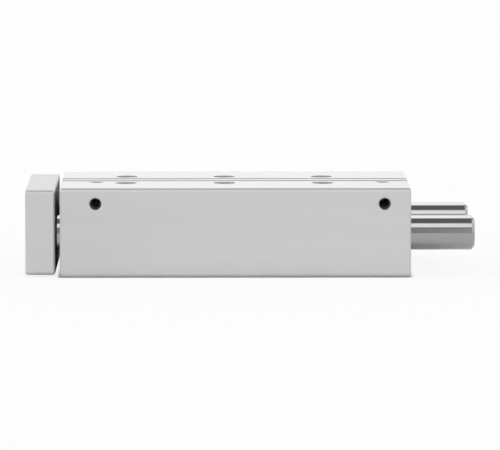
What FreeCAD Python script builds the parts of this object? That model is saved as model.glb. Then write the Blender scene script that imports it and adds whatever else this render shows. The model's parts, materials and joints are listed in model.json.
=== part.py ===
"""Guided pneumatic cylinder, retracted: a slide of yoke, guide rods and piston in a drilled profile.

Millimetres, +Z up. The origin is the centre of the housing's base face. The yoke is at the front,
towards -X, and the slide extends that way. The supply ports are on the near side, towards -Y.
"""
import FreeCAD, Part
import math
import os

from FreeCAD import Vector

# Working sizes
stroke = 80.0
bore_diameter = 16.0
piston_rod_diameter = 8.0
guide_rod_diameter = 12.0
axis_height = 14.75         # of the bore and both guide rods, above the base face
retracted_gap = 1.7         # between the yoke and the housing
guide_rod_tail = 22.2       # of the guide rods behind the housing, retracted

# Fits
running_gap = 0.03          # radial, between a rod and its bush
lip_gap = 0.05              # radial, between a lip and the wall it wipes
seat_gap = 0.02             # radial, between a seated piece and its seat
thread_gap = 0.05           # radial, between a screw and its thread
passing_gap = 0.5           # radial, where a rod passes a hole without touching
end_gap = 0.3               # between the piston and a bumper at each end of the stroke

# Housing profile
housing_width = 64.0
housing_height = 31.0
guide_edge = 9.0            # of each guide rod's axis from the side of the housing
profile_radius = 1.2
end_chamfer = 0.5
slot_offset = 3.75          # of each sensor slot from the middle
slot_mouth = 3.0
slot_channel = 4.0
slot_lip = 1.0

# Mounting holes
first_mount = 22.6          # from the front end
last_mount = 30.0           # from the rear end
mount_hole = 4.3
mount_counterbore = 7.5
mount_counterbore_depth = 4.4

# Supply ports
countersink_angle = 120.0   # of every threaded hole's mouth
port_core = 4.2
port_mouth = 5.0
port_thread_depth = 6.0
port_passage = 3.0
port_drop = 5.5             # of the near side ports, below the top face
front_port = 12.3           # from the front end
rear_port = 9.1             # from the rear end
top_port_offset = 9.2       # of the top face ports, from the middle
plug_recess = 0.9
plug_length = 3.0
plug_socket = 2.5
plug_socket_depth = 1.8
plug_chamfer = 0.3

# End caps, each behind its retaining ring
ring_setback = 1.0
ring_thickness = 1.0
ring_width = 2.0
ring_groove_depth = 0.5
ring_groove_play = 0.1
ring_lug_radius = 1.7
ring_eye = 1.6
ring_lug_pitch = 4.25       # between the eyes of a ring
ring_gap = 1.7              # between the ends of a ring
ring_taper = 0.4            # by which a ring is wider opposite its gap and narrower beside it
front_seat_step = 2.0       # of the front seat round the bore
rear_seat_step = 1.0        # of the rear seat round the bore
front_flange = 6.5
rear_flange = 3.8
front_nose = 2.7
rear_nose = 1.6
nose_step = 1.6             # of a nose inside the bore
cap_chamfer = 0.3
o_ring_depth = 1.25
o_ring_groove = 1.7
rod_bush_wall = 1.0
rod_bush_ease = 0.2         # of the bush's bore at its ends
rod_seal_wall = 2.5
rod_seal_seat = 3.4
cap_web = 0.6
front_bumper_thickness = 3.5
rear_bumper_thickness = 2.5
bumper_collar = 0.4
bumper_inset = 0.2          # of a bumper inside the nose that carries it
bumper_chamfer = 0.6
rear_bumper_stub = 3.0      # radius
stub_seat_depth = 1.8
stub_play = 0.2             # behind the stub in its seat
rear_cap_recess = 4.0       # radius
rear_cap_recess_depth = 1.0
rear_cap_recess_flare = 0.5

# Guide bushes and wipers
guide_bush_wall = 1.0
guide_bush_length = 20.0
guide_bush_ease = 0.3       # of a bush's bore at its ends
guide_bush_pitch = 36.0
wiper_wall = 1.8
wiper_seat = 3.5

# Yoke
yoke_thickness = 10.25
yoke_side_inset = 1.0       # of the yoke's sides inside the housing's
yoke_top_inset = 0.8        # of the yoke's top and base inside the housing's
yoke_hole_edge = 5.0        # of the threaded holes from the sides of the yoke
yoke_hole_height = 16.0
yoke_hole = 4.2
yoke_hole_mouth = 5.4
guide_rod_chamfer = 1.0
guide_rod_seat_chamfer = 0.7

# Screws of the yoke
guide_screw = 5.0
guide_screw_head = 8.5
guide_screw_socket = 4.0
rod_screw = 4.0
rod_screw_head = 7.0
rod_screw_socket = 3.0
screw_length = 16.0
screw_hole_depth = 16.0     # into a rod
head_gap = 0.25             # round a screw head in its counterbore
head_recess = 0.4
head_chamfer = 0.4
screw_point = 0.6           # chamfer
screw_play = 0.15

# Piston
piston_length = 16.0
piston_play = 0.2
piston_chamfer = 0.5
band_chamfer = 0.2
piston_half = 5.6           # thickness of the front half
magnet_length = 3.8
magnet_hub = 9.6
magnet_inset = 1.0          # of the magnet inside the bore
seal_groove = 3.0
seal_groove_depth = 2.1
seal_land = 1.2             # between a seal groove and the end of its half
spigot = 5.0
spigot_setback = 0.2        # of its tip inside the piston
piston_rod_chamfer = 0.5
nut_width = 8.0
nut_height = 2.7
nut_chamfer = 0.6
nut_chamfer_height = 0.35
nut_recess = 3.2
nut_room = 0.5

# Lengths and places that follow from these
bore_radius = bore_diameter / 2
rod_radius = piston_rod_diameter / 2
guide_radius = guide_rod_diameter / 2
guide_bush_radius = guide_radius + guide_bush_wall
guide_offset = housing_width / 2 - guide_edge
mount_row = (bore_radius + guide_offset - guide_bush_radius) / 2
yoke_width = housing_width - 2 * yoke_side_inset
yoke_height = housing_height - 2 * yoke_top_inset
ring_room = ring_setback + ring_thickness
front_stack = ring_room + front_flange + front_nose + front_bumper_thickness
rear_stack = ring_room + rear_flange + rear_nose + rear_bumper_thickness
housing_length = front_stack + end_gap + stroke + piston_length + end_gap + rear_stack
front_x = -housing_length / 2
rear_x = housing_length / 2
yoke_back = front_x - retracted_gap
yoke_front = yoke_back - yoke_thickness
piston_back = rear_x - rear_stack - end_gap
piston_front = piston_back - piston_length
port_height = housing_height - port_drop
port_places = (front_x + front_port, rear_x - rear_port)
sides = {"near": -guide_offset, "far": guide_offset}


def bar_x(radius, x_from, x_to, y=0.0, z=axis_height):
    """A round bar parallel to X, on the bore's axis unless another is given."""
    return Part.makeCylinder(radius, x_to - x_from, Vector(x_from, y, z), Vector(1, 0, 0))


def bar_y(radius, y_from, y_to, x, z):
    """A round bar parallel to Y."""
    return Part.makeCylinder(radius, y_to - y_from, Vector(x, y_from, z), Vector(0, 1, 0))


def bar_z(radius, z_from, z_to, x, y):
    """A round bar parallel to Z."""
    return Part.makeCylinder(radius, z_to - z_from, Vector(x, y, z_from), Vector(0, 0, 1))


def turned(outline, y=0.0, z=axis_height):
    """A turned piece: the (x, radius) outline swept round an axis parallel to X."""
    corners = [Vector(x, 0, radius) for x, radius in outline]
    face = Part.Face(Part.makePolygon(corners + corners[:1]))
    piece = face.revolve(Vector(0, 0, 0), Vector(1, 0, 0), 360)
    piece.translate(Vector(0, y, z))
    return piece


def hexagon(width, x_from, x_to, y, z):
    """A hexagonal bar parallel to X, by its width across flats."""
    corner = width / 2 / math.cos(math.pi / 6)
    angles = [math.pi / 3 * step for step in range(7)]
    corners = [Vector(x_from, y + corner * math.cos(a), z + corner * math.sin(a)) for a in angles]
    return Part.Face(Part.makePolygon(corners)).extrude(Vector(x_to - x_from, 0, 0))


def rounded_bar(width, height, radius, x_from, x_to, z_middle):
    """A bar along X with a rounded rectangle as its section."""
    half_w = width / 2
    half_h = height / 2
    box = Part.makeBox(x_to - x_from, width, height, Vector(x_from, -half_w, z_middle - half_h))
    long_edges = [e for e in box.Edges if abs(e.tangentAt(e.FirstParameter).x) > 0.9]
    return box.makeFillet(radius, long_edges)


def end_edges(shape, x):
    """The edges of a shape that lie in the plane at x."""
    return [e for e in shape.Edges if abs(e.BoundBox.XMin - x) < 1e-6 and abs(e.BoundBox.XMax - x) < 1e-6]


def sensor_slot(y):
    """The space of one sensor slot: a round channel under a narrower mouth, over the whole length."""
    radius = slot_channel / 2
    centre = housing_height - slot_lip - math.sqrt(radius ** 2 - (slot_mouth / 2) ** 2)
    channel = bar_x(radius, front_x - 1, rear_x + 1, y, centre)
    mouth = Part.makeBox(housing_length + 2, slot_mouth, housing_height - centre + 1,
                         Vector(front_x - 1, y - slot_mouth / 2, centre))
    return channel.fuse(mouth)


def countersink(core, mouth, tip, direction):
    """A cone that breaks the edge of a hole; tip is the middle of the hole's mouth, direction points in."""
    depth = (mouth - core) / 2 / math.tan(math.radians(countersink_angle / 2))
    return Part.makeCone(mouth / 2, core / 2, depth, tip, direction)


def supply_ports():
    """The port holes: a thread core from each face, meeting in a drilling that breaks into the bore."""
    cuts = []
    near_face = -housing_width / 2
    for x in port_places:
        cuts.append(bar_y(port_core / 2, near_face - 1, near_face + port_thread_depth, x, port_height))
        cuts.append(bar_y(port_passage / 2, near_face, -top_port_offset, x, port_height))
        cuts.append(bar_z(port_core / 2, axis_height, housing_height + 1, x, -top_port_offset))
        cuts.append(countersink(port_core, port_mouth, Vector(x, near_face, port_height), Vector(0, 1, 0)))
        cuts.append(countersink(port_core, port_mouth, Vector(x, -top_port_offset, housing_height),
                                Vector(0, 0, -1)))
    return cuts


def mounting_holes():
    """Six holes, counterbored from the top face, in rows midway between the bore and the guide bores."""
    first = front_x + first_mount
    last = rear_x - last_mount
    cuts = []
    for x in (first, (first + last) / 2, last):
        for y in (-mount_row, mount_row):
            cuts.append(bar_z(mount_hole / 2, -1, housing_height + 1, x, y))
            cuts.append(bar_z(mount_counterbore / 2, housing_height - mount_counterbore_depth,
                              housing_height + 1, x, y))
    return cuts


def guide_bore(y):
    """The stepped hole of one guide rod: wiper seat, bush bore, then a hole the rod passes freely."""
    wiper_end = front_x + wiper_seat
    bush_end = wiper_end + guide_bush_pitch + guide_bush_length
    free_radius = guide_radius + passing_gap
    return [
        bar_x(guide_radius + wiper_wall, front_x - 1, wiper_end, y),
        bar_x(guide_bush_radius, wiper_end - 1, bush_end, y),
        bar_x(free_radius, bush_end - 1, rear_x + 1, y),
        turned([(rear_x - passing_gap, 0), (rear_x - passing_gap, free_radius),
                (rear_x, free_radius + passing_gap), (rear_x, 0)], y),
    ]


def cap_seat(end, inwards, step, flange):
    """The seat of an end cap with its ring groove; inwards is +1 from the front end, -1 from the rear."""
    seat = bore_radius + step
    groove = seat + ring_groove_depth
    depth = ring_room + flange
    marks = ((-1, 0), (-1, seat), (ring_setback, seat), (ring_setback, groove),
             (ring_room + ring_groove_play, groove), (ring_room + ring_groove_play, seat),
             (depth, seat), (depth, 0))
    return turned([(end + inwards * d, radius) for d, radius in marks])


def make_housing():
    """The profile with its slots, bores, cap seats, ports and mounting holes."""
    profile = rounded_bar(housing_width, housing_height, profile_radius, front_x, rear_x,
                          housing_height / 2)
    profile = profile.makeChamfer(end_chamfer, end_edges(profile, front_x) + end_edges(profile, rear_x))
    cuts = [sensor_slot(-slot_offset), sensor_slot(slot_offset)]
    cuts.append(bar_x(bore_radius, front_x, rear_x))
    cuts.append(cap_seat(front_x, 1, front_seat_step, front_flange))
    cuts.append(cap_seat(rear_x, -1, rear_seat_step, rear_flange))
    for y in sides.values():
        cuts.extend(guide_bore(y))
    cuts.extend(mounting_holes())
    cuts.extend(supply_ports())
    return profile.cut(cuts)


def make_port_plugs():
    """Two grub screws that close the ports of the top face."""
    top = housing_height - plug_recess
    plugs = []
    for x in port_places:
        plug = bar_z(port_core / 2 - seat_gap, top - plug_length, top, x, -top_port_offset)
        plug = plug.makeChamfer(plug_chamfer, [plug.Edges[0], plug.Edges[2]])
        socket = hexagon(plug_socket, 0, plug_socket_depth, 0, 0)
        socket.rotate(Vector(0, 0, 0), Vector(0, 1, 0), 90)
        socket.translate(Vector(x, -top_port_offset, top))
        plugs.append(plug.cut(socket))
    return Part.makeCompound(plugs)


def retaining_ring(end, inwards, step):
    """A bent ring for a bore groove, with two eyed lugs beside its gap at the bottom."""
    outer = bore_radius + step + ring_groove_depth - seat_gap
    x_from = min(end + inwards * ring_setback, end + inwards * ring_room)
    x_to = x_from + ring_thickness
    ring = bar_x(outer, x_from, x_to)
    ring = ring.cut(bar_x(outer - ring_width, x_from - 1, x_to + 1, 0, axis_height - ring_taper))
    lug_circle = outer - ring_groove_depth - seat_gap - ring_lug_radius
    spread = math.asin(ring_lug_pitch / 2 / lug_circle)
    eyes = []
    for angle in (-spread, spread):
        y = lug_circle * math.sin(angle)
        z = axis_height - lug_circle * math.cos(angle)
        ring = ring.fuse(bar_x(ring_lug_radius, x_from, x_to, y, z))
        eyes.append(bar_x(ring_eye / 2, x_from - 1, x_to + 1, y, z))
    gap = Part.makeBox(ring_thickness + 2, ring_gap, outer + 1,
                       Vector(x_from - 1, -ring_gap / 2, axis_height - outer - 1))
    return ring.cut(eyes + [gap]).removeSplitter()


def o_ring(middle, step):
    """The ring that seals a cap in its seat."""
    thickness = o_ring_depth / 2
    centre = bore_radius + step - thickness
    return Part.makeTorus(centre, thickness - seat_gap, Vector(middle, 0, axis_height), Vector(1, 0, 0))


def make_front_cap():
    """The bearing cap of the piston rod, with seats for its seal, bush, O-ring and bumper."""
    face = front_x + ring_room
    shoulder = face + front_flange
    end = shoulder + front_nose
    seat = bore_radius + front_seat_step - seat_gap
    floor = bore_radius + front_seat_step - o_ring_depth
    groove = face + (front_flange + cap_web - o_ring_groove) / 2
    seal = rod_radius + rod_seal_wall
    web = rod_radius + passing_gap
    bush = rod_radius + rod_bush_wall
    seal_end = face + rod_seal_seat
    return turned([
        (face, seal), (face, seat - cap_chamfer), (face + cap_chamfer, seat), (groove, seat),
        (groove, floor), (groove + o_ring_groove, floor), (groove + o_ring_groove, seat), (shoulder, seat),
        (shoulder, bore_radius - nose_step), (end, bore_radius - nose_step), (end, bush),
        (seal_end + cap_web, bush), (seal_end + cap_web, web), (seal_end, web), (seal_end, seal),
    ])


def front_o_ring_middle():
    """The place of the O-ring in the bearing cap's groove."""
    return front_x + ring_room + (front_flange + cap_web) / 2


def make_rod_bush():
    """The plain bearing of the piston rod, pressed into the cap from behind."""
    start = front_x + ring_room + rod_seal_seat + cap_web
    end = front_x + ring_room + front_flange + front_nose - bumper_collar
    inner = rod_radius + running_gap
    outer = rod_radius + rod_bush_wall - seat_gap
    eased = inner + rod_bush_ease
    return turned([(start, eased), (start, outer), (end, outer), (end, eased),
                   (end - rod_bush_ease, inner), (start + rod_bush_ease, inner)])


def make_rod_seal():
    """The rod seal: a wiping lip in front and a sealing lip behind on one body."""
    start = front_x + ring_room
    end = start + rod_seal_seat
    touch = rod_radius + lip_gap
    outer = rod_radius + rod_seal_wall - seat_gap
    middle = rod_radius + rod_seal_wall * 0.45
    return turned([
        (start + 0.2, outer), (end, outer), (end, middle), (end - 0.5, touch + 0.25), (end - 0.9, touch),
        (end - 1.3, touch + 0.15), (end - 1.6, middle), (start + 0.9, middle), (start + 0.4, touch),
        (start, touch + 0.1), (start, touch + 0.5), (start + 0.2, middle + 0.4),
    ])


def make_front_bumper():
    """The ring that stops the piston at full stroke, pressed into the end of the bush seat."""
    start = front_x + ring_room + front_flange + front_nose
    end = start + front_bumper_thickness
    inner = rod_radius + passing_gap
    collar = rod_radius + rod_bush_wall - seat_gap
    outer = bore_radius - nose_step - bumper_inset
    return turned([(start - bumper_collar, inner), (start - bumper_collar, collar), (start, collar),
                   (start, outer), (end - bumper_chamfer, outer), (end, outer - bumper_chamfer),
                   (end, inner)])


def make_rear_cap():
    """The plain cap that closes the bore, with an O-ring groove and a seat for the bumper's stub."""
    face = rear_x - ring_room
    shoulder = face - rear_flange
    end = shoulder - rear_nose
    seat = bore_radius + rear_seat_step - seat_gap
    floor = bore_radius + rear_seat_step - o_ring_depth
    groove = face - (rear_flange - o_ring_groove) / 2
    nose = bore_radius - nose_step
    stub_end = end + stub_seat_depth
    return turned([
        (face - rear_cap_recess_depth, 0), (face - rear_cap_recess_depth, rear_cap_recess),
        (face, rear_cap_recess + rear_cap_recess_flare), (face, seat - cap_chamfer),
        (face - cap_chamfer, seat), (groove, seat),
        (groove, floor), (groove - o_ring_groove, floor), (groove - o_ring_groove, seat), (shoulder, seat),
        (shoulder, nose), (end, nose), (end, rear_bumper_stub), (stub_end, rear_bumper_stub), (stub_end, 0),
    ])


def make_rear_bumper():
    """The disc that stops the piston when it is retracted, held by a stub in the rear cap."""
    start = rear_x - ring_room - rear_flange - rear_nose
    end = start - rear_bumper_thickness
    outer = bore_radius - nose_step - bumper_inset
    stub = rear_bumper_stub - seat_gap
    stub_end = start + stub_seat_depth - stub_play
    return turned([(stub_end, 0), (stub_end, stub), (start, stub), (start, outer),
                   (end + bumper_chamfer, outer), (end, outer - bumper_chamfer), (end, 0)])


def make_guide_bush(y, start):
    """A plain bush of a guide rod, its bore eased at both ends."""
    end = start + guide_bush_length
    inner = guide_radius + running_gap
    outer = guide_bush_radius - seat_gap
    eased = inner + guide_bush_ease
    return turned([(start, eased), (start, outer), (end, outer), (end, eased),
                   (end - guide_bush_ease, inner), (start + guide_bush_ease, inner)], y)


def make_guide_wiper(y):
    """The wiper ring of a guide rod, its lip towards the yoke."""
    end = front_x + wiper_seat
    touch = guide_radius + lip_gap
    outer = guide_radius + wiper_wall - seat_gap
    middle = guide_radius + wiper_wall * 0.5
    return turned([
        (front_x + 0.5, outer), (end, outer), (end, touch + 0.4), (end - 1.2, touch + 0.4),
        (end - 1.9, touch), (front_x + 0.2, touch), (front_x + 0.1, touch + 0.3), (front_x + 0.5, middle),
    ], y)


def make_yoke():
    """The plate at the front of the slide: screw seats for the three rods and four threaded holes."""
    middle = housing_height / 2
    plate = rounded_bar(yoke_width, yoke_height, profile_radius, yoke_front, yoke_back, middle)
    plate = plate.makeChamfer(end_chamfer, end_edges(plate, yoke_front) + end_edges(plate, yoke_back))
    seats = [(y, guide_screw, guide_screw_head) for y in sides.values()]
    seats.append((0.0, rod_screw, rod_screw_head))
    cuts = []
    for y, screw, head in seats:
        cuts.append(bar_x(screw / 2 + screw_play, yoke_front - 1, yoke_back + 1, y))
        cuts.append(bar_x(head / 2 + head_gap, yoke_front - 1, yoke_front + screw + head_recess, y))
    hole_row = yoke_width / 2 - yoke_hole_edge
    for y in (-hole_row, hole_row):
        for z in (middle - yoke_hole_height / 2, middle + yoke_hole_height / 2):
            cuts.append(bar_x(yoke_hole / 2, yoke_front - 1, yoke_back + 1, y, z))
            cuts.append(countersink(yoke_hole, yoke_hole_mouth, Vector(yoke_front, y, z), Vector(1, 0, 0)))
            cuts.append(countersink(yoke_hole, yoke_hole_mouth, Vector(yoke_back, y, z), Vector(-1, 0, 0)))
    return plate.cut(cuts)


def socket_screw(diameter, head, socket, y):
    """A socket head screw seated in the yoke, its head as high as its thread is wide."""
    start = yoke_front + head_recess
    seat = start + diameter
    end = seat + screw_length
    head_radius = head / 2
    radius = diameter / 2
    screw = turned([(start, 0), (start, head_radius - head_chamfer), (start + head_chamfer, head_radius),
                    (seat, head_radius), (seat, radius), (end - screw_point, radius),
                    (end, radius - screw_point), (end, 0)], y)
    return screw.cut(hexagon(socket, start - 1, start + radius, y, axis_height))


def make_guide_screws():
    """The two screws of the guide rods."""
    return Part.makeCompound([socket_screw(guide_screw, guide_screw_head, guide_screw_socket, y)
                              for y in sides.values()])


def make_guide_rod(y):
    """A guide rod: chamfered at both ends, threaded at the yoke."""
    end = rear_x + guide_rod_tail
    hole = guide_screw / 2 + thread_gap
    hole_end = yoke_back + screw_hole_depth
    seat = guide_radius - guide_rod_seat_chamfer
    return turned([
        (yoke_back, hole), (yoke_back, seat), (yoke_back + guide_rod_seat_chamfer, guide_radius),
        (end - guide_rod_chamfer, guide_radius), (end, guide_radius - guide_rod_chamfer), (end, 0),
        (hole_end + hole / 2, 0), (hole_end, hole),
    ], y)


def make_piston_rod():
    """The piston rod: threaded at the yoke, stepped down to a spigot through the piston."""
    hole = rod_screw / 2 + thread_gap
    hole_end = yoke_back + screw_hole_depth
    tip = piston_back - spigot_setback
    chamfer = piston_rod_chamfer
    return turned([
        (yoke_back, hole), (yoke_back, rod_radius - chamfer), (yoke_back + chamfer, rod_radius),
        (piston_front, rod_radius), (piston_front, spigot / 2), (tip - chamfer, spigot / 2),
        (tip, spigot / 2 - chamfer), (tip, 0), (hole_end + hole / 2, 0), (hole_end, hole),
    ])


def make_piston_front():
    """The front half of the piston, with a seal groove and the hub of the magnet."""
    outer = bore_radius - piston_play
    floor = bore_radius - seal_groove_depth
    groove_end = piston_front + piston_half - seal_land
    half_end = piston_front + piston_half
    hub_end = half_end + magnet_length
    hole = spigot / 2 + seat_gap
    return turned([
        (piston_front, hole), (piston_front, outer - piston_chamfer),
        (piston_front + piston_chamfer, outer), (groove_end - seal_groove, outer),
        (groove_end - seal_groove, floor), (groove_end, floor), (groove_end, outer), (half_end, outer),
        (half_end, magnet_hub / 2), (hub_end, magnet_hub / 2), (hub_end, hole),
    ])


def make_piston_rear():
    """The rear half of the piston, with a seal groove and the recess of the nut."""
    outer = bore_radius - piston_play
    floor = bore_radius - seal_groove_depth
    start = piston_front + piston_half + magnet_length
    groove = start + seal_land
    hole = spigot / 2 + seat_gap
    recess = nut_width / 2 / math.cos(math.pi / 6) + nut_room
    return turned([
        (start, hole), (start, outer), (groove, outer), (groove, floor), (groove + seal_groove, floor),
        (groove + seal_groove, outer), (piston_back - piston_chamfer, outer),
        (piston_back, outer - piston_chamfer), (piston_back, recess), (piston_back - nut_recess, recess),
        (piston_back - nut_recess, hole),
    ])


def make_magnet():
    """The ring magnet between the piston halves."""
    start = piston_front + piston_half
    end = start + magnet_length
    inner = magnet_hub / 2 + seat_gap
    outer = bore_radius - magnet_inset
    return turned([(start, inner), (start, outer), (end, outer), (end, inner)])


def make_guide_band():
    """The split-free band round the magnet that carries the piston in the bore."""
    start = piston_front + piston_half + seat_gap
    end = start + magnet_length - 2 * seat_gap
    inner = bore_radius - magnet_inset + seat_gap
    outer = bore_radius - lip_gap
    edge = outer - band_chamfer
    return turned([(start, inner), (start, edge), (start + band_chamfer, outer),
                   (end - band_chamfer, outer), (end, edge), (end, inner)])


def make_lip_seal(base, lips):
    """A lip seal in a piston groove: base is the groove wall at its back, lips is +1 or -1 along X."""
    floor = bore_radius - seal_groove_depth + seat_gap
    touch = bore_radius - lip_gap
    middle = bore_radius - seal_groove_depth * 0.5
    marks = (
        (0.05, floor), (0.05, touch - 0.45), (0.9, touch - 0.35), (seal_groove - 0.4, touch),
        (seal_groove - 0.15, touch - 0.2), (seal_groove * 0.45, middle),
        (seal_groove - 0.15, floor + 0.4), (seal_groove - 0.3, floor),
    )
    return turned([(base + lips * d, radius) for d, radius in marks])


def make_piston_nut():
    """The nut that clamps the piston halves on the spigot."""
    start = piston_back - nut_recess
    end = start + nut_height
    nut = hexagon(nut_width, start, end, 0.0, axis_height)
    corner = nut_width / 2 / math.cos(math.pi / 6)
    rim = turned([(start, 0), (start, corner), (end - nut_chamfer_height, corner),
                  (end, corner - nut_chamfer), (end, 0)])
    return nut.common(rim).cut(bar_x(spigot / 2 + thread_gap, start - 1, end + 1))


def build_pieces():
    """Every piece of the cylinder, by name."""
    front_bush = front_x + wiper_seat
    rear_bush = front_bush + guide_bush_pitch
    pieces = {
        "housing": make_housing(),
        "port_plugs": make_port_plugs(),
        "front_bearing_cap": make_front_cap(),
        "rod_bush": make_rod_bush(),
        "rod_wiper_seal": make_rod_seal(),
        "front_cap_o_ring": o_ring(front_o_ring_middle(), front_seat_step),
        "front_retaining_ring": retaining_ring(front_x, 1, front_seat_step),
        "front_bumper": make_front_bumper(),
        "rear_cap": make_rear_cap(),
        "rear_cap_o_ring": o_ring(rear_x - ring_room - rear_flange / 2, rear_seat_step),
        "rear_retaining_ring": retaining_ring(rear_x, -1, rear_seat_step),
        "rear_bumper": make_rear_bumper(),
        "yoke_plate": make_yoke(),
        "guide_rod_screws": make_guide_screws(),
        "piston_rod": make_piston_rod(),
        "piston_rod_screw": socket_screw(rod_screw, rod_screw_head, rod_screw_socket, 0.0),
        "piston_front_half": make_piston_front(),
        "piston_rear_half": make_piston_rear(),
        "piston_magnet": make_magnet(),
        "piston_guide_band": make_guide_band(),
        "piston_seal_front": make_lip_seal(piston_front + piston_half - seal_land, -1),
        "piston_seal_rear": make_lip_seal(piston_front + piston_half + magnet_length + seal_land, 1),
        "piston_nut": make_piston_nut(),
    }
    for side, y in sides.items():
        pieces["guide_rod_" + side] = make_guide_rod(y)
        pieces["guide_bush_front_" + side] = make_guide_bush(y, front_bush)
        pieces["guide_bush_rear_" + side] = make_guide_bush(y, rear_bush)
        pieces["guide_wiper_" + side] = make_guide_wiper(y)
    return pieces


os.makedirs("parts", exist_ok=True)
for name, shape in build_pieces().items():
    shape.exportStep("parts/" + name + ".step")
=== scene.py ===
"""Guided pneumatic cylinder: finishes, cut threads, studio and camera round the CAD frame.

Metres, in the frame of the CAD model: +Z up, the yoke towards -X, the supply ports towards -Y.
"""
import json
import logging
import math
from dataclasses import dataclass
from enum import Enum
from typing import NamedTuple

import bpy
from mathutils import Matrix, Vector


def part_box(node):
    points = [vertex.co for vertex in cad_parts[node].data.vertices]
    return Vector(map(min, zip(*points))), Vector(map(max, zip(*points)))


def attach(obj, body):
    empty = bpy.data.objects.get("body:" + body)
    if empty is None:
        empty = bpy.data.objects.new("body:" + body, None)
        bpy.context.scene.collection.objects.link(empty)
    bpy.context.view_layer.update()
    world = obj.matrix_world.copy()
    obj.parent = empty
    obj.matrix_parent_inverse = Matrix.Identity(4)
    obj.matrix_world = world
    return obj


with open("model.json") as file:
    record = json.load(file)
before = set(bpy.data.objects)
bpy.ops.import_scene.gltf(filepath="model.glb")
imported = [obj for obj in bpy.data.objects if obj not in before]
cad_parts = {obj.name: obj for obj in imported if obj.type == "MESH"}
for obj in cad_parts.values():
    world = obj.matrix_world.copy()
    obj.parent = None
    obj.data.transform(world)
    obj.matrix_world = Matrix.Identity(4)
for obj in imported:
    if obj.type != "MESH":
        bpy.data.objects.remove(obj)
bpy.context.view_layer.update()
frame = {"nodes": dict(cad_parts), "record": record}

MM = 0.001
SAME_PLACE = 1e-6       # metres by which equal coordinates may differ
PATTERN_LOW = 0.3       # level of a pattern at which its marks are weakest
PATTERN_HIGH = 0.7      # level at which they are strongest
LOG = logging.getLogger("cylinder")

Colour = tuple[float, float, float]
Point = tuple[float, float, float]
Patterns = tuple[bpy.types.NodeSocket, bpy.types.NodeSocket]


@dataclass(frozen=True)
class Marks:
    """The marks that one way of working leaves on a surface.

    Attributes:
        kind: What they look like.
        broad: Marks per metre along each axis, in the pattern of the colour.
        fine: Marks per metre along each axis, in the pattern of gloss and relief.
        detail: Octaves of finer noise in the fine pattern.
    """

    kind: str
    broad: Point
    fine: Point
    detail: float = 3.0


class Grain(Enum):
    """How the surface of a piece was made, which decides the pattern of its marks."""

    EXTRUDED = Marks("die lines along the profile", (9, 300, 300), (16, 4200, 4200))
    MILLED = Marks("cutter marks across the plate", (220, 60, 220), (3800, 250, 3800))
    GROUND = Marks("fine marks round a rod", (180, 90, 90), (9000, 500, 500))
    TURNED = Marks("rings round the bore's axis", (900, 900, 0), (6500, 6500, 0))
    CUT = Marks("torn marks of a tap or a drill", (1100, 1100, 1100), (7000, 7000, 7000), 4.0)
    SINTERED = Marks("open pores", (900, 900, 900), (5200, 5200, 5200))
    MOULDED = Marks("even fine texture", (300, 300, 300), (4200, 4200, 4200), 5.0)
    PLATED = Marks("soft cloudy variation", (420, 420, 420), (2600, 2600, 2600), 4.0)


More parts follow.
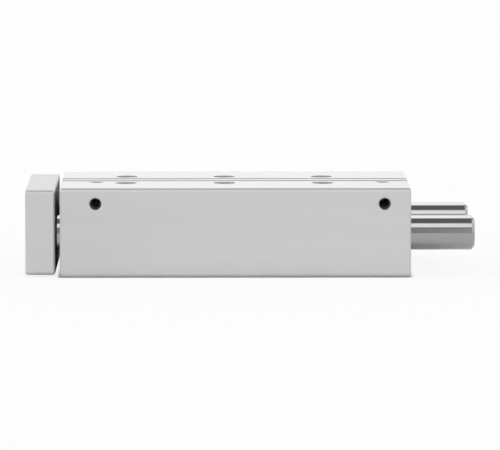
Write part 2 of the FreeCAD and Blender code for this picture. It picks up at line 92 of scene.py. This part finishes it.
class NodeSheet:
    """A node tree that is filled by short calls."""

    def __init__(self, tree: bpy.types.NodeTree) -> None:
        """Empties the tree.

        Args:
            tree: The node tree of a material or the world.
        """
        self.tree = tree
        tree.nodes.clear()

    def add(self, kind: str, **settings: object) -> bpy.types.Node:
        """Adds a node.

        Args:
            kind: The node's type name.
            settings: Properties to set on it.

        Returns:
            The new node.
        """
        node = self.tree.nodes.new(kind)
        for key, value in settings.items():
            setattr(node, key, value)
        return node

    def feed(self, socket: bpy.types.NodeSocket, value: object) -> None:
        """Links a socket to another one, or sets it to a plain value.

        Args:
            socket: The input to fill.
            value: An output socket, a number or a sequence of numbers.
        """
        if isinstance(value, bpy.types.NodeSocket):
            self.tree.links.new(value, socket)
        else:
            socket.default_value = value

    def math(self, operation: str, *values: object) -> bpy.types.NodeSocket:
        """Adds a Math node.

        Args:
            operation: The node's operation.
            values: Its inputs in order.

        Returns:
            The node's output.
        """
        node = self.add("ShaderNodeMath", operation=operation)
        for socket, value in zip(node.inputs, values):
            self.feed(socket, value)
        return node.outputs[0]

    def spread(self, value: object, low: float, high: float, to_low: float = 0.0, to_high: float = 1.0,
               smooth: bool = False) -> bpy.types.NodeSocket:
        """Maps a range of values to another one, and holds the ends.

        Args:
            value: The value to map.
            low: Start of its range.
            high: End of its range.
            to_low: Result at the start.
            to_high: Result at the end.
            smooth: Whether the ends ease in and out.

        Returns:
            The mapped value.
        """
        kind = "SMOOTHSTEP" if smooth else "LINEAR"
        node = self.add("ShaderNodeMapRange", interpolation_type=kind)
        for name, item in (("Value", value), ("From Min", low), ("From Max", high), ("To Min", to_low),
                           ("To Max", to_high)):
            self.feed(node.inputs[name], item)
        return node.outputs["Result"]

    def blend(self, share: object, first: object, second: object) -> bpy.types.NodeSocket:
        """Mixes two values.

        Args:
            share: Share of the second one.
            first: The value at share 0.
            second: The value at share 1.

        Returns:
            The mixed value.
        """
        change = self.math("SUBTRACT", second, first)
        return self.math("ADD", first, self.math("MULTIPLY", share, change))

    def axes(self, vector: bpy.types.NodeSocket) -> bpy.types.NodeOutputs:
        """Takes a vector apart.

        Args:
            vector: The vector.

        Returns:
            Its X, Y and Z.
        """
        node = self.add("ShaderNodeSeparateXYZ")
        self.feed(node.inputs["Vector"], vector)
        return node.outputs

    def noise(self, vector: bpy.types.NodeSocket, stretch: Point,
              detail: float = 3.0) -> bpy.types.NodeSocket:
        """Adds a noise pattern.

        Args:
            vector: Coordinates in metres.
            stretch: Marks per metre along each axis.
            detail: Octaves of finer noise.

        Returns:
            The pattern, about 0.5 on average.
        """
        mapping = self.add("ShaderNodeMapping")
        self.feed(mapping.inputs["Vector"], vector)
        self.feed(mapping.inputs["Scale"], stretch)
        node = self.add("ShaderNodeTexNoise")
        self.feed(node.inputs["Vector"], mapping.outputs["Vector"])
        self.feed(node.inputs["Scale"], 1.0)
        self.feed(node.inputs["Detail"], detail)
        return node.outputs["Fac"]

    def pores(self, vector: bpy.types.NodeSocket, scale: float) -> bpy.types.NodeSocket:
        """Adds a pattern of open pores.

        Args:
            vector: Coordinates in metres.
            scale: Pores per metre.

        Returns:
            The distance from the nearest pore's middle, in pores.
        """
        node = self.add("ShaderNodeTexVoronoi")
        self.feed(node.inputs["Vector"], vector)
        self.feed(node.inputs["Scale"], scale)
        return node.outputs["Distance"]


@dataclass(frozen=True)
class Finish:
    """The look of one material of the cylinder.

    Attributes:
        name: Name of the finish, for a CAD node that of its material slot in the record.
        colour: Linear base colour.
        metallic: How far it reflects as bare metal.
        roughness: Mean roughness.
        grain: Kind of surface marks.
        tone: Share by which the colour varies.
        gloss_change: Amount by which the roughness varies.
        relief: Depth of the marks, in metres.
    """

    name: str
    colour: Colour
    metallic: float
    roughness: float
    grain: Grain
    tone: float = 0.03
    gloss_change: float = 0.06
    relief: float = 1e-6

    def marks(self, sheet: NodeSheet) -> Patterns:
        """Makes the pattern of the surface marks.

        Args:
            sheet: The material's node sheet.

        Returns:
            The broad pattern, for colour, and the fine one, for gloss and relief.
        """
        marks = self.grain.value
        place = sheet.add("ShaderNodeTexCoord").outputs["Object"]
        if self.grain is Grain.TURNED:
            place = self.wound(sheet, place)
        broad = sheet.noise(place, marks.broad)
        if self.grain is Grain.SINTERED:
            return broad, sheet.pores(place, marks.fine[0])
        return broad, sheet.noise(place, marks.fine, marks.detail)

    @staticmethod
    def wound(sheet: NodeSheet, place: bpy.types.NodeSocket) -> bpy.types.NodeSocket:
        """Winds coordinates round the bore's axis, so that marks become rings.

        Args:
            sheet: The material's node sheet.
            place: Object coordinates.

        Returns:
            The distance from the axis as X, and the place along it as Y.
        """
        low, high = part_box("piston_rod")
        axis = (low + high) / 2
        along, across, up = sheet.axes(place)
        across = sheet.math("SUBTRACT", across, axis.y)
        up = sheet.math("SUBTRACT", up, axis.z)
        squares = sheet.math("ADD", sheet.math("MULTIPLY", across, across), sheet.math("MULTIPLY", up, up))
        rings = sheet.add("ShaderNodeCombineXYZ")
        sheet.feed(rings.inputs["X"], sheet.math("SQRT", squares))
        sheet.feed(rings.inputs["Y"], along)
        return rings.outputs["Vector"]

    def material(self) -> bpy.types.Material:
        """Makes the material with its marks in colour, gloss and relief.

        Returns:
            The new material.
        """
        material = bpy.data.materials.new(self.name)
        material.use_nodes = True
        sheet = NodeSheet(material.node_tree)
        broad, fine = self.marks(sheet)
        shader = sheet.add("ShaderNodeBsdfPrincipled")
        sheet.feed(shader.inputs["Metallic"], self.metallic)
        ramp = sheet.add("ShaderNodeValToRGB")
        stops = ((PATTERN_LOW, 1 - self.tone), (PATTERN_HIGH, 1 + self.tone))
        for element, (level, share) in zip(ramp.color_ramp.elements, stops):
            element.position = level
            element.color = (*(min(1.0, c * share) for c in self.colour), 1.0)
        sheet.feed(ramp.inputs["Fac"], broad)
        sheet.feed(shader.inputs["Base Color"], ramp.outputs["Color"])
        gloss = sheet.spread(fine, PATTERN_LOW, PATTERN_HIGH, self.roughness - self.gloss_change,
                             self.roughness + self.gloss_change)
        sheet.feed(shader.inputs["Roughness"], gloss)
        bump = sheet.add("ShaderNodeBump")
        sheet.feed(bump.inputs["Strength"], 1.0)
        sheet.feed(bump.inputs["Distance"], self.relief)
        sheet.feed(bump.inputs["Height"], fine)
        sheet.feed(shader.inputs["Normal"], bump.outputs["Normal"])
        output = sheet.add("ShaderNodeOutputMaterial")
        sheet.feed(output.inputs["Surface"], shader.outputs["BSDF"])
        return material


CUT_AND_SHADE_FINISH = "cut_aluminium_painted_shade"
FINISHES = (
    Finish("housing_aluminium", (0.54, 0.54, 0.543), 0.85, 0.41, Grain.EXTRUDED, tone=0.012,
           gloss_change=0.03, relief=1.5e-7),
    # Darker than the skin: painted shade inside the threads and drill points; the roughness and marks are
    # the cut metal's own.
    Finish(CUT_AND_SHADE_FINISH, (0.36, 0.36, 0.364), 0.85, 0.5, Grain.CUT, tone=0.06),
    Finish("yoke_aluminium", (0.55, 0.55, 0.553), 0.85, 0.47, Grain.MILLED, tone=0.012,
           gloss_change=0.03, relief=1.5e-7),
    Finish("guide_rod_chrome", (0.345, 0.347, 0.351), 1.0, 0.09, Grain.GROUND, tone=0.01,
           gloss_change=0.02, relief=2e-8),
    Finish("piston_rod_steel", (0.62, 0.62, 0.62), 1.0, 0.14, Grain.GROUND, tone=0.02,
           gloss_change=0.03, relief=4e-8),
    Finish("turned_aluminium", (0.62, 0.62, 0.63), 0.8, 0.34, Grain.TURNED, relief=3e-6),
    Finish("bush_bronze", (0.46, 0.30, 0.15), 0.9, 0.42, Grain.SINTERED, tone=0.12, relief=8e-6),
    Finish("seal_rubber", (0.022, 0.022, 0.023), 0.0, 0.62, Grain.MOULDED, tone=0.15, relief=3e-6),
    Finish("bumper_polyurethane", (0.20, 0.15, 0.08), 0.0, 0.5, Grain.MOULDED, tone=0.1, relief=3e-6),
    Finish("ring_spring_steel", (0.09, 0.09, 0.095), 0.7, 0.5, Grain.PLATED, tone=0.2, relief=2e-6),
    Finish("screw_steel", (0.42, 0.43, 0.45), 0.95, 0.34, Grain.PLATED, tone=0.08),
    Finish("magnet_ferrite", (0.05, 0.05, 0.055), 0.2, 0.65, Grain.SINTERED, tone=0.15, relief=4e-6),
    Finish("band_plastic", (0.10, 0.14, 0.12), 0.0, 0.5, Grain.MOULDED, tone=0.08, relief=2e-6),
)


class Wardrobe:
    """The finished materials by name."""

    def __init__(self) -> None:
        """Makes every finish once."""
        self.materials: dict[str, bpy.types.Material] = {}
        for finish in FINISHES:
            self.materials[finish.name] = finish.material()
            LOG.info("finish %s: %s", finish.name, finish.grain.value.kind)

    def dress_node(self, name: str, slot: str) -> None:
        """Puts a finish on a CAD node.

        Args:
            name: The node.
            slot: The finish.
        """
        for holder in frame["nodes"][name].material_slots:
            holder.material = self.materials[slot]
        LOG.info("node %s: %s", name, slot)

    def dress_cut_with_painted_shade(self, piece: bpy.types.Object, slot: str) -> None:
        """Puts the cut finish on a new piece, its darker colour painted shade inside the hole, and logs the
        slot of what it is cut into.

        Args:
            piece: The new piece.
            slot: The slot of what it is cut into.
        """
        piece.data.materials.clear()
        # The finish's darker colour is painted shade inside the hole.
        piece.data.materials.append(self.materials[CUT_AND_SHADE_FINISH])
        LOG.info("piece %s: cut into %s", piece.name, slot)


@dataclass
class HolePiece:
    """A piece that is modelled once and put into every drilled hole of a kind.

    Attributes:
        name: Name of the pieces made from it.
        core: Radius of the drilled wall.
        start: Depth under the mouth where the piece starts.
        end: Depth where it ends.
    """

    name: str
    core: float
    start: float
    end: float

    def model(self) -> bpy.types.Object:
        """Models the piece, with the hole's mouth at the origin and the hole along -Z."""
        raise NotImplementedError

    def put(self, mouths: list[Vector], axis: Vector, body: str, slot: str, wardrobe: Wardrobe) -> None:
        """Puts the piece into its holes.

        Args:
            mouths: Middle of each hole's mouth.
            axis: Direction out of the holes.
            body: The body that has them.
            slot: The material slot of that body's piece.
            wardrobe: The finished materials.
        """
        first = self.model()
        turn = Vector((0, 0, 1)).rotation_difference(axis).to_matrix().to_4x4()
        for number, mouth in enumerate(mouths, 1):
            piece = first if number == len(mouths) else self.copy(first)
            piece.name = f"{self.name}_{number}"
            bpy.ops.object.select_all(action="DESELECT")
            piece.select_set(True)
            bpy.context.view_layer.objects.active = piece
            piece.matrix_world = Matrix.Translation(mouth) @ turn
            bpy.ops.object.transform_apply()
            wardrobe.dress_cut_with_painted_shade(piece, slot)
            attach(piece, body)

    @staticmethod
    def copy(piece: bpy.types.Object) -> bpy.types.Object:
        """Copies a piece with a mesh of its own."""
        twin = piece.copy()
        twin.data = piece.data.copy()
        bpy.context.scene.collection.objects.link(twin)
        return twin

    @staticmethod
    def pick(piece: bpy.types.Object, axis: int, value: float) -> None:
        """Selects in edit mode only the vertices that have a value along an axis.

        Args:
            piece: The piece in edit mode.
            axis: 0 for X, 2 for Z.
            value: The coordinate to find.
        """
        bpy.ops.mesh.select_all(action="DESELECT")
        bpy.ops.object.mode_set(mode="OBJECT")
        for vertex in piece.data.vertices:
            vertex.select = abs(vertex.co[axis] - value) < SAME_PLACE
        bpy.ops.object.mode_set(mode="EDIT")


@dataclass
class TappedThread(HolePiece):
    """The thread of a hole: one ridge wound up the wall.

    Attributes:
        pitch: Rise of one turn.
        height: How far the ridge stands in from the wall.
        half_width: Half of the ridge's width on the wall.
        crest: Share of the height by which the crest is blunted.
        corners: Corners of the section before that.
        end_sides: Most sides that an end of the ridge can have.
        steps: Steps of one turn.
        crease: Angle from which an edge stays sharp.
    """

    pitch: float = 0.8 * MM
    height: float = 0.22 * MM
    half_width: float = 0.27 * MM
    crest: float = 0.35
    corners: int = 4
    end_sides: int = 8
    steps: int = 40
    crease: float = math.radians(20)

    def model(self) -> bpy.types.Object:
        """Models the ridge: a flattened section with a blunt crest, wound from the end to the mouth.

        Returns:
            The ridge.
        """
        turns = (self.end - self.start - 2 * self.half_width) / self.pitch
        middle = (self.core, 0, self.half_width - self.end)
        bpy.ops.object.select_all(action="DESELECT")
        bpy.ops.mesh.primitive_circle_add(vertices=self.corners, radius=self.height, location=middle,
                                          rotation=(math.pi / 2, 0, 0))
        ridge = bpy.context.object
        bpy.ops.object.transform_apply()
        bpy.ops.object.mode_set(mode="EDIT")
        bpy.ops.mesh.select_all(action="SELECT")
        bpy.ops.transform.resize(value=(1, 1, self.half_width / self.height), center_override=middle)
        self.pick(ridge, 0, self.core - self.height)
        bpy.ops.mesh.bevel(affect="VERTICES", offset=self.crest * self.height)
        bpy.ops.object.mode_set(mode="OBJECT")
        screw = ridge.modifiers.new("turns", "SCREW")
        screw.angle = math.tau * turns
        screw.screw_offset = self.pitch * turns
        screw.steps = screw.render_steps = round(self.steps * turns)
        screw.use_merge_vertices = False
        bpy.ops.object.modifier_apply(modifier=screw.name)
        bpy.ops.object.mode_set(mode="EDIT")
        bpy.ops.mesh.select_all(action="SELECT")
        bpy.ops.mesh.fill_holes(sides=self.end_sides)
        bpy.ops.mesh.normals_make_consistent(inside=False)
        bpy.ops.object.mode_set(mode="OBJECT")
        bpy.ops.object.shade_smooth_by_angle(angle=self.crease)
        return ridge


@dataclass
class DrillPoint(HolePiece):
    """The cone that a drill leaves at the end of a hole, round the narrower passage.

    Attributes:
        passage: Radius where the cone ends.
        neck: How far its edge reaches into the passage.
        edge: Width of the blunt edge there.
        edge_steps: Steps across that edge.
        sides: Sides of the cone.
        crease: Angle from which an edge stays sharp.
    """

    passage: float = 1.47 * MM
    neck: float = 0.15 * MM
    edge: float = 0.05 * MM
    edge_steps: int = 3
    sides: int = 72
    crease: float = math.radians(35)

    def model(self) -> bpy.types.Object:
        """Models the cone from a ring on the wall, narrowed to the passage and bent into it.

        Returns:
            The cone.
        """
        bpy.ops.object.select_all(action="DESELECT")
        bpy.ops.mesh.primitive_circle_add(vertices=self.sides, radius=self.core,
                                          location=(0, 0, -self.start))
        cone = bpy.context.object
        bpy.ops.object.transform_apply()
        bpy.ops.object.mode_set(mode="EDIT")
        bpy.ops.mesh.select_all(action="SELECT")
        bpy.ops.mesh.extrude_region_move(TRANSFORM_OT_translate={"value": (0, 0, self.start - self.end)})
        share = self.passage / self.core
        bpy.ops.transform.resize(value=(share, share, 1), center_override=(0, 0, -self.end))
        bpy.ops.mesh.extrude_region_move(TRANSFORM_OT_translate={"value": (0, 0, -self.neck)})
        self.pick(cone, 2, -self.end)
        bpy.ops.mesh.bevel(offset=self.edge, segments=self.edge_steps)
        bpy.ops.mesh.select_all(action="SELECT")
        bpy.ops.mesh.normals_make_consistent(inside=True)
        bpy.ops.object.mode_set(mode="OBJECT")
        bpy.ops.object.shade_smooth_by_angle(angle=self.crease)
        return cone


def mount(name: str) -> dict:
    """Finds a mount in the record.

    Args:
        name: The mount's name.

    Returns:
        Its entry.
    """
    return next(m for m in frame["record"]["mounts"] if m["name"] == name)


def slots_of(nodes: tuple[str, ...]) -> dict[str, str]:
    """Looks up the material slots of nodes.

    Args:
        nodes: Names of CAD nodes.

    Returns:
        The slot of each.
    """
    return {s["node"]: s["material_slot"] for s in frame["record"]["subparts"] if s["node"] in nodes}


@dataclass
class SubAssembly:
    """Pieces that are dressed together.

    Attributes:
        nodes: Its CAD nodes.
    """

    nodes: tuple[str, ...]

    def dress(self, wardrobe: Wardrobe) -> None:
        """Puts the record's finish on every node.

        Args:
            wardrobe: The finished materials.
        """
        for name, slot in slots_of(self.nodes).items():
            wardrobe.dress_node(name, slot)

    def build(self, wardrobe: Wardrobe) -> None:
        """Models what the nodes lack, which is nothing unless a kind of assembly says so.

        Args:
            wardrobe: The finished materials.
        """


@dataclass
class Housing(SubAssembly):
    """The drilled profile with its port plugs, and the threads cut into it.

    Attributes:
        port_break: Depth of the countersink of a port.
        port_depth: Depth of a port's thread.
        port_end: Depth of the cone under it.
        base_break: Depth of the countersink of a mounting hole's thread, from the base.
        base_depth: Depth of that thread.
    """

    nodes: tuple[str, ...] = ("housing", "port_plugs")
    port_break: float = 0.23 * MM
    port_depth: float = 5.4 * MM
    port_end: float = 5.95 * MM
    base_break: float = 0.4 * MM
    base_depth: float = 9.0 * MM

    def build(self, wardrobe: Wardrobe) -> None:
        """Cuts the threads of the ports and of the mounting holes.

        Args:
            wardrobe: The finished materials.
        """
        low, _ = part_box("housing")
        ports = [mount("retract_port"), mount("extend_port")]
        mouths = [Vector((p["pos_m"][0], low.y, p["pos_m"][2])) for p in ports]
        core = ports[0]["dims"]["r_mm"] * MM
        thread = TappedThread("port_thread", core, self.port_break, self.port_depth)
        thread.put(mouths, Vector((0, -1, 0)), "housing", "housing_aluminium", wardrobe)
        cone = DrillPoint("port_cone", core, self.port_depth, self.port_end)
        cone.put(mouths, Vector((0, -1, 0)), "housing", "housing_aluminium", wardrobe)
        holes = mount("housing_bolts")
        middle = holes["pos_m"][0]
        reach = holes["dims"]["spacing_x_mm"] * MM / 2
        row = holes["dims"]["spacing_y_mm"] * MM / 2
        mouths = [Vector((middle + x, y, low.z)) for x in (-reach, 0, reach) for y in (-row, row)]
        core = holes["dims"]["hole_r_mm"] * MM
        thread = TappedThread("base_thread", core, self.base_break, self.base_depth)
        thread.put(mouths, Vector((0, 0, -1)), "housing", "housing_aluminium", wardrobe)


@dataclass
class CylinderEnds(SubAssembly):
    """The caps, rings, seals and bumpers of the bore, and the bushes and wipers of the guide rods."""

    nodes: tuple[str, ...] = (
        "front_bearing_cap", "rod_bush", "rod_wiper_seal", "front_cap_o_ring", "front_retaining_ring",
        "front_bumper", "rear_cap", "rear_cap_o_ring", "rear_retaining_ring", "rear_bumper",
        "guide_bush_front_near", "guide_bush_front_far", "guide_bush_rear_near", "guide_bush_rear_far",
        "guide_wiper_near", "guide_wiper_far")


@dataclass
class Slide(SubAssembly):
    """The yoke with its rods and screws, and the threads cut into it.

    Attributes:
        mouth_break: Depth of the countersinks of the threaded holes.
    """

    nodes: tuple[str, ...] = (
        "yoke_plate", "guide_rod_near", "guide_rod_far", "guide_rod_screws", "piston_rod",
        "piston_rod_screw")
    mouth_break: float = 0.35 * MM

    def build(self, wardrobe: Wardrobe) -> None:
        """Cuts the threads of the yoke's holes.

        Args:
            wardrobe: The finished materials.
        """
        low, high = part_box("yoke_plate")
        holes = mount("yoke_bolts")
        middle = Vector(holes["pos_m"])
        across = holes["dims"]["spacing_x_mm"] * MM / 2
        up = holes["dims"]["spacing_y_mm"] * MM / 2
        mouths = [Vector((low.x, middle.y + y, middle.z + z)) for y in (-across, across) for z in (-up, up)]
        core = holes["dims"]["hole_r_mm"] * MM
        thread = TappedThread("yoke_thread", core, self.mouth_break, high.x - low.x - self.mouth_break)
        thread.put(mouths, Vector((-1, 0, 0)), "slide", "yoke_aluminium", wardrobe)


@dataclass
class Piston(SubAssembly):
    """The piston halves with their magnet, band, seals and nut."""

    nodes: tuple[str, ...] = (
        "piston_front_half", "piston_rear_half", "piston_magnet", "piston_guide_band", "piston_seal_front",
        "piston_seal_rear", "piston_nut")


class Stretch(NamedTuple):
    """A stretch of an arc of the dome.

    Attributes:
        start: Where it starts, in degrees from the horizon in front of the object.
        edge: Width of the soft edge there, in degrees.
        level: How bright it is.
    """

    start: float
    edge: float
    level: float


@dataclass
class Studio:
    """A white floor under a dome of soft panels.

    The dome is described along an arc from the horizon in front of the object, over the top, to the
    horizon behind it. A narrow strip in its middle holds the lamps that the rods mirror, and on the left
    and right stand the side panels.

    Attributes:
        strip: Stretches of the strip.
        strip_edge: Sideways shares of the direction between which the strip gives way to the arc.
        arc: Stretches of the arc.
        side_edge: Sideways shares between which the arc gives way to the side panels.
        side_rise: Upward shares between which the side panels change from low to high.
        side_low: Level of the side panels near the horizon.
        side_high: Their level higher up.
        side_lean: Share by which the left panel is brighter and the right one darker.
        floor_colour: Colour of the floor.
        floor_glow: Share of the floor's white that no shadow takes away, clear of the housing's base.
        painted_shade_edge: Width of the soft edge of the painted shade round the base.
        shadow_reach: How high a piece can be and still cast the painted shade on the floor that metal
            mirrors.
        shadow_range: Shares of open sky between which that floor goes from painted shade to full glow.
        shadow_samples: Directions in which the floor looks for such pieces.
        floor_size: Width of the floor.
    """

    strip: tuple[Stretch, ...] = (
        Stretch(-180, 1, 0.43), Stretch(40, 8, 2.15), Stretch(68, 10, 0.24), Stretch(114, 9, 2.35),
        Stretch(147, 6, 1.1), Stretch(162, 8, 2.35))
    strip_edge: tuple[float, float] = (0.055, 0.075)
    arc: tuple[Stretch, ...] = (
        Stretch(-180, 1, 1.68), Stretch(27, 16, 1.05), Stretch(62, 16, 0.52), Stretch(162, 8, 1.7))
    side_edge: tuple[float, float] = (0.5, 0.7)
    side_rise: tuple[float, float] = (0.3, 0.6)
    side_low: float = 1.3
    side_high: float = 2.0
    side_lean: float = 0.08
    floor_colour: Colour = (0.85, 0.85, 0.85)
    floor_glow: float = 0.85
    painted_shade_edge: float = 1.2 * MM
    shadow_reach: float = 25.0 * MM
    shadow_range: tuple[float, float] = (0.5, 0.9)
    shadow_samples: int = 8
    floor_size: float = 60.0

    def build(self) -> None:
        """Makes the dome and the floor."""
        self.dome()
        bpy.ops.object.select_all(action="DESELECT")
        bpy.ops.mesh.primitive_plane_add(size=self.floor_size)
        floor = bpy.context.object
        floor.name = "floor"
        floor.data.materials.append(self.floor_white())
        LOG.info("studio: floor and dome")

    def floor_white(self) -> bpy.types.Material:
        """Makes the floor's material, which stays near white in the object's shadow, apart from painted
        shade round the housing's base and, in mirrored rays, under pieces near the floor.

        Returns:
            The new material.
        """
        material = bpy.data.materials.new("floor_white")
        material.use_nodes = True
        sheet = NodeSheet(material.node_tree)
        path = sheet.add("ShaderNodeLightPath").outputs
        mirrored = sheet.math("ADD", path["Is Glossy Ray"], path["Is Transmission Ray"])
        # Painted shade in mirrored rays: the glow gives way where ambient occlusion finds pieces near the
        # floor.
        mirrored = sheet.math("MULTIPLY", mirrored, self.open_sky(sheet))
        seen = sheet.math("MINIMUM", sheet.math("ADD", path["Is Camera Ray"], mirrored), 1.0)
        # Painted shade: the glow is taken away in a soft box round the housing's base, leaving the matt
        # floor's own shadow there.
        clear = sheet.math("SUBTRACT", 1.0, self.painted_base_shade(sheet))
        share = sheet.math("MULTIPLY", sheet.math("MULTIPLY", seen, clear), self.floor_glow)
        matt = sheet.add("ShaderNodeBsdfDiffuse")
        sheet.feed(matt.inputs["Color"], (*self.floor_colour, 1.0))
        glow = sheet.add("ShaderNodeEmission")
        sheet.feed(glow.inputs["Strength"], 1.0)
        mix = sheet.add("ShaderNodeMixShader")
        for socket, value in zip(mix.inputs, (share, matt.outputs["BSDF"], glow.outputs["Emission"])):
            sheet.feed(socket, value)
        sheet.feed(sheet.add("ShaderNodeOutputMaterial").inputs["Surface"], mix.outputs["Shader"])
        return material

    def open_sky(self, sheet: NodeSheet) -> bpy.types.NodeSocket:
        """Paints shade, by ambient occlusion, into the floor's glow where pieces stand near it, so that
        metal mirrors a shadow of the object.

        Args:
            sheet: The floor's node sheet.

        Returns:
            0 in the painted shade and 1 on the open floor.
        """
        node = sheet.add("ShaderNodeAmbientOcclusion", samples=self.shadow_samples)
        sheet.feed(node.inputs["Distance"], self.shadow_reach)
        return sheet.spread(node.outputs["AO"], *self.shadow_range)

    def painted_base_shade(self, sheet: NodeSheet) -> bpy.types.NodeSocket:
        """Marks the floor under the housing's base, where the floor's glow is taken away as painted shade.

        Args:
            sheet: The floor's node sheet.

        Returns:
            1 under the base and 0 elsewhere.
        """
        low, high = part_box("housing")
        place = sheet.axes(sheet.add("ShaderNodeTexCoord").outputs["Object"])
        inside: object = 1.0
        for axis in (0, 1):
            middle = (low[axis] + high[axis]) / 2
            half = (high[axis] - low[axis]) / 2
            reach = sheet.math("ABSOLUTE", sheet.math("SUBTRACT", place[axis], middle))
            under = sheet.spread(reach, half, half + self.painted_shade_edge, 1.0, 0.0)
            inside = sheet.math("MULTIPLY", inside, under)
        return inside

    def dome(self) -> None:
        """Paints the panels on the world."""
        world = bpy.data.worlds.new("studio_dome")
        bpy.context.scene.world = world
        world.use_nodes = True
        sheet = NodeSheet(world.node_tree)
        x, y, z = sheet.axes(sheet.add("ShaderNodeTexCoord").outputs["Generated"])
        climb = sheet.math("DEGREES", sheet.math("ARCTAN2", z, sheet.math("MULTIPLY", y, -1.0)))
        aside = sheet.math("ABSOLUTE", x)
        side = sheet.spread(z, *self.side_rise, self.side_low, self.side_high, smooth=True)
        lean = sheet.spread(x, -1.0, 1.0, 1 + self.side_lean, 1 - self.side_lean)
        side = sheet.math("MULTIPLY", side, lean)
        strip = self.levels(sheet, climb, self.strip)
        arc = self.levels(sheet, climb, self.arc)
        level = sheet.blend(sheet.spread(aside, *self.strip_edge, smooth=True), strip, arc)
        level = sheet.blend(sheet.spread(aside, *self.side_edge, smooth=True), level, side)
        shader = sheet.add("ShaderNodeBackground")
        sheet.feed(shader.inputs["Strength"], level)
        sheet.feed(shader.inputs["Color"], (1.0, 1.0, 1.0, 1.0))
        sheet.feed(sheet.add("ShaderNodeOutputWorld").inputs["Surface"], shader.outputs["Background"])

    @staticmethod
    def levels(sheet: NodeSheet, climb: bpy.types.NodeSocket,
               stretches: tuple[Stretch, ...]) -> bpy.types.NodeSocket:
        """Joins the stretches of an arc.

        Args:
            sheet: The world's node sheet.
            climb: Place along the arc, in degrees.
            stretches: The stretches in order.

        Returns:
            The level along the arc.
        """
        level: object = stretches[0].level
        for last, stretch in zip(stretches, stretches[1:]):
            start, end = stretch.start - stretch.edge / 2, stretch.start + stretch.edge / 2
            step = sheet.spread(climb, start, end, 0.0, stretch.level - last.level, smooth=True)
            level = sheet.math("ADD", level, step)
        return level


@dataclass
class PhotoCamera:
    """The camera of the photograph.

    Attributes:
        place: Where it stands.
        target: What is in the middle of the picture.
        lens: Focal length, in millimetres.
        sensor: Width of the sensor, in millimetres.
        sight: How far it sees.
    """

    place: Point = (-9.95 * MM, -1743.2 * MM, 193.88 * MM)
    target: Point = (5.02 * MM, -32 * MM, 18.28 * MM)
    lens: float = 359.2
    sensor: float = 36.0
    sight: float = 100.0

    def build(self) -> None:
        """Makes the camera and gives it to the scene."""
        bpy.ops.object.camera_add(location=self.place)
        camera = bpy.context.object
        camera.name = "photo_camera"
        camera.data.lens = self.lens
        camera.data.sensor_width = self.sensor
        camera.data.clip_end = self.sight
        aim = Vector(self.target) - Vector(self.place)
        camera.rotation_euler = aim.to_track_quat("-Z", "Y").to_euler()
        bpy.context.scene.camera = camera
        LOG.info("camera at %s", self.place)


def main() -> None:
    """Dresses the cylinder, models its threads and sets up the studio."""
    logging.basicConfig(level=logging.INFO, format="%(name)s: %(message)s")
    bpy.context.scene.view_settings.view_transform = "Standard"
    wardrobe = Wardrobe()
    for assembly in (Housing(), CylinderEnds(), Slide(), Piston()):
        assembly.dress(wardrobe)
        assembly.build(wardrobe)
    Studio().build()
    PhotoCamera().build()


if __name__ == "__main__":
    main()
